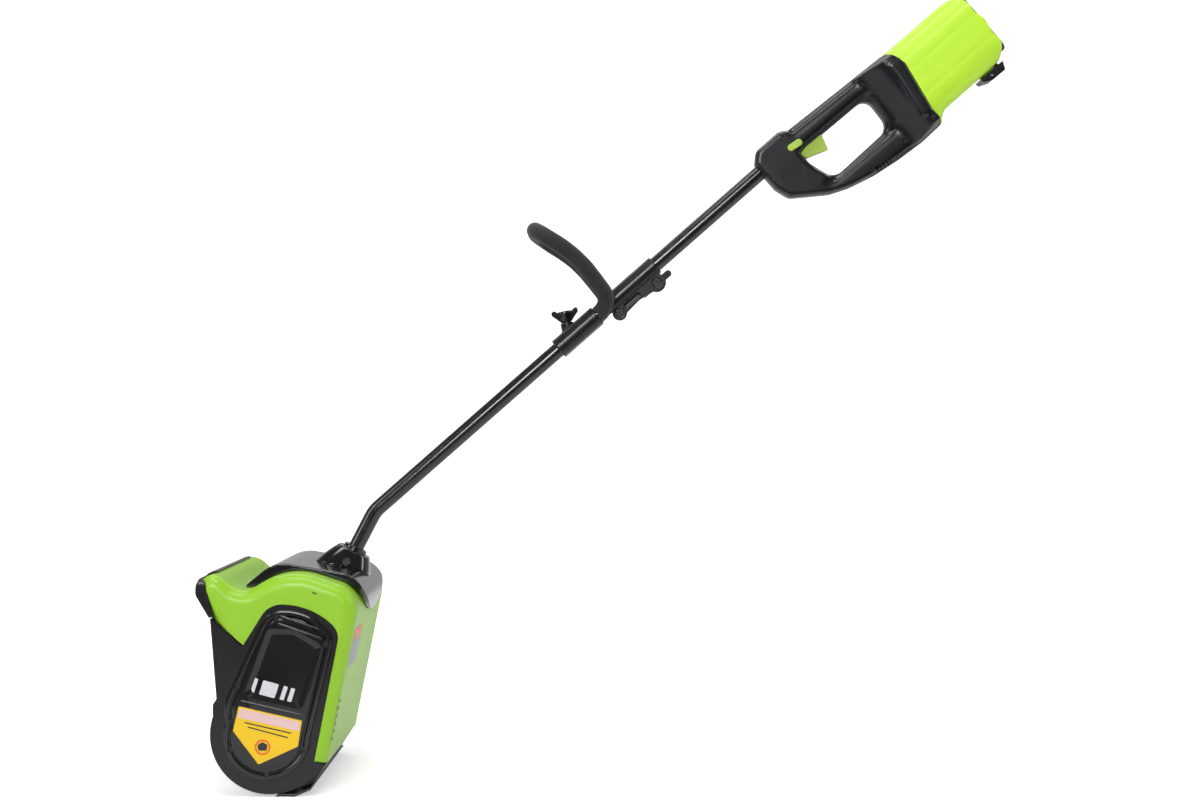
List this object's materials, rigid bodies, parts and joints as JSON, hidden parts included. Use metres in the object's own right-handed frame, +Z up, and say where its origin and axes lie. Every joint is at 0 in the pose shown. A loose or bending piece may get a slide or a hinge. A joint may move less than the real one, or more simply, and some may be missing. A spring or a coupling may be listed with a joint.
{
  "type": "cordless snow shovel",
  "caption": "Battery snow shovel: belt-driven paddle rotor in an open-fronted head on a bent two-piece shaft, with sliding loop handle and trigger D-handle.",
  "frame": {"origin": "on the ground, under the middle of the scraper bar's flat sole, in the working pose", "axes": "+Z up, -X forward to the snow side, +X back to the user, -Y the tool's left side (drive side)"},
  "size_m": [1.0183, 0.32, 1.0041],
  "materials": {
    "green_shell": "glossy moulded lime green",
    "bay_green": "semi-gloss moulded light lime green",
    "trigger_green": "satin lime green",
    "gloss_black": "high gloss black",
    "satin_black": "satin black",
    "handle_black": "fine textured black",
    "scraper_black": "worn satin black",
    "tube_black": "gloss black paint",
    "foam": "closed-cell foam",
    "paddle_rubber": "moulded rubber",
    "pulley_grey": "moulded nylon",
    "steel": "turned steel",
    "black_screw": "black oxide",
    "cable": "soft jacket",
    "board": "solder mask",
    "battery_black": "textured black"
  },
  "bodies": {
    "head": {"hood": "green_shell", "nose_lip": "satin_black", "top_cover": "gloss_black", "shaft_socket": "gloss_black", "inner_chute": "satin_black", "rear_sill": "satin_black", "scraper_bar": "scraper_black", "scraper_screws": "black_screw", "left_side_box": "satin_black", "right_side_box": "satin_black", "drive_cover": "gloss_black", "right_end_cover": "gloss_black", "cover_screws": "black_screw", "bearing_left": "steel", "bearing_right": "steel", "motor_can": "steel", "motor_mount": "steel", "drive_belt": "paddle_rubber", "socket_bolt": "black_screw", "lower_tube": "tube_black", "lower_lead": "cable", "lower_plug": "satin_black", "coupler_left": "satin_black", "coupler_right": "satin_black", "coupler_screw": "black_screw", "coupler_bolt": "black_screw"},
    "rotor": {"rotor_shaft": "steel", "rotor_core": "pulley_grey", "rotor_discs": "pulley_grey", "paddle_front": "paddle_rubber", "paddle_rear": "paddle_rubber", "driven_pulley": "pulley_grey"},
    "motor_rotor": {"motor_shaft": "steel", "motor_armature": "steel", "motor_fan": "satin_black", "drive_pulley": "pulley_grey"},
    "upper_shaft": {"upper_tube": "tube_black", "upper_plug": "satin_black", "upper_lead": "cable", "handle_left_shell": "handle_black", "handle_right_shell": "handle_black", "handle_screws": "black_screw", "micro_switch": "satin_black", "control_board": "board", "battery_bay": "bay_green", "terminal_block": "satin_black", "trigger_pin": "steel", "latch_pin": "steel"},
    "trigger": {"trigger": "trigger_green"},
    "lock_off": {"lock_off_button": "trigger_green"},
    "battery": {"battery_case": "battery_black"},
    "latch": {"battery_latch": "satin_black"},
    "aux_handle": {"aux_clamp_upper": "satin_black", "aux_clamp_lower": "satin_black", "loop_rod": "steel", "loop_grip": "foam", "clamp_screws": "black_screw"},
    "clamp_knob": {"clamp_knob": "satin_black"},
    "coupler_knob": {"coupler_knob": "satin_black"}
  },
  "joints": [
    {"name": "rotor_spin", "type": "hinge", "parent": "head", "child": "rotor", "pos_m": [-0.02, 0, 0.076], "axis": [0, 1, 0], "continuous": true},
    {"name": "motor_spin", "type": "hinge", "parent": "head", "child": "motor_rotor", "pos_m": [0.015, 0, 0.19], "axis": [0, 1, 0], "continuous": true},
    {"name": "shaft_slide", "type": "slide", "parent": "head", "child": "upper_shaft", "axis": [0.7513, 0, 0.66], "range_m": [0, 0.06]},
    {"name": "trigger_pull", "type": "hinge", "parent": "upper_shaft", "child": "trigger", "pos_m": [0.6415, 0, 0.81243], "axis": [0, -1, 0], "range_deg": [0, 10], "stiffness_Nm_per_rad": 0.5, "springref_deg": -17.19},
    {"name": "lock_off_push", "type": "slide", "parent": "upper_shaft", "child": "lock_off", "axis": [0, 1, 0], "range_m": [0, 0.003], "stiffness_N_per_m": 600, "springref_m": -0.002},
    {"name": "battery_slide", "type": "slide", "parent": "upper_shaft", "child": "battery", "axis": [0.7513, 0, 0.66], "range_m": [0, 0.11]},
    {"name": "latch_press", "type": "hinge", "parent": "upper_shaft", "child": "latch", "pos_m": [0.89051, 0, 0.90474], "axis": [0, 1, 0], "range_deg": [0, 6], "stiffness_Nm_per_rad": 1, "springref_deg": -8.59},
    {"name": "aux_handle_slide", "type": "slide", "parent": "head", "child": "aux_handle", "axis": [0.7513, 0, 0.66], "range_m": [-0.2, 0.008]},
    {"name": "clamp_knob_turn", "type": "hinge", "parent": "aux_handle", "child": "clamp_knob", "pos_m": [0.33977, 0, 0.59528], "axis": [-0.1959, 0, 0.9806], "range_deg": [0, 360]},
    {"name": "coupler_knob_turn", "type": "hinge", "parent": "head", "child": "coupler_knob", "pos_m": [0.45869, 0, 0.63719], "axis": [0, 1, 0], "range_deg": [0, 360]}
  ],
  "couplings": [
    {"joint": "motor_spin", "follows": "rotor_spin", "ratio": 4}
  ]
}
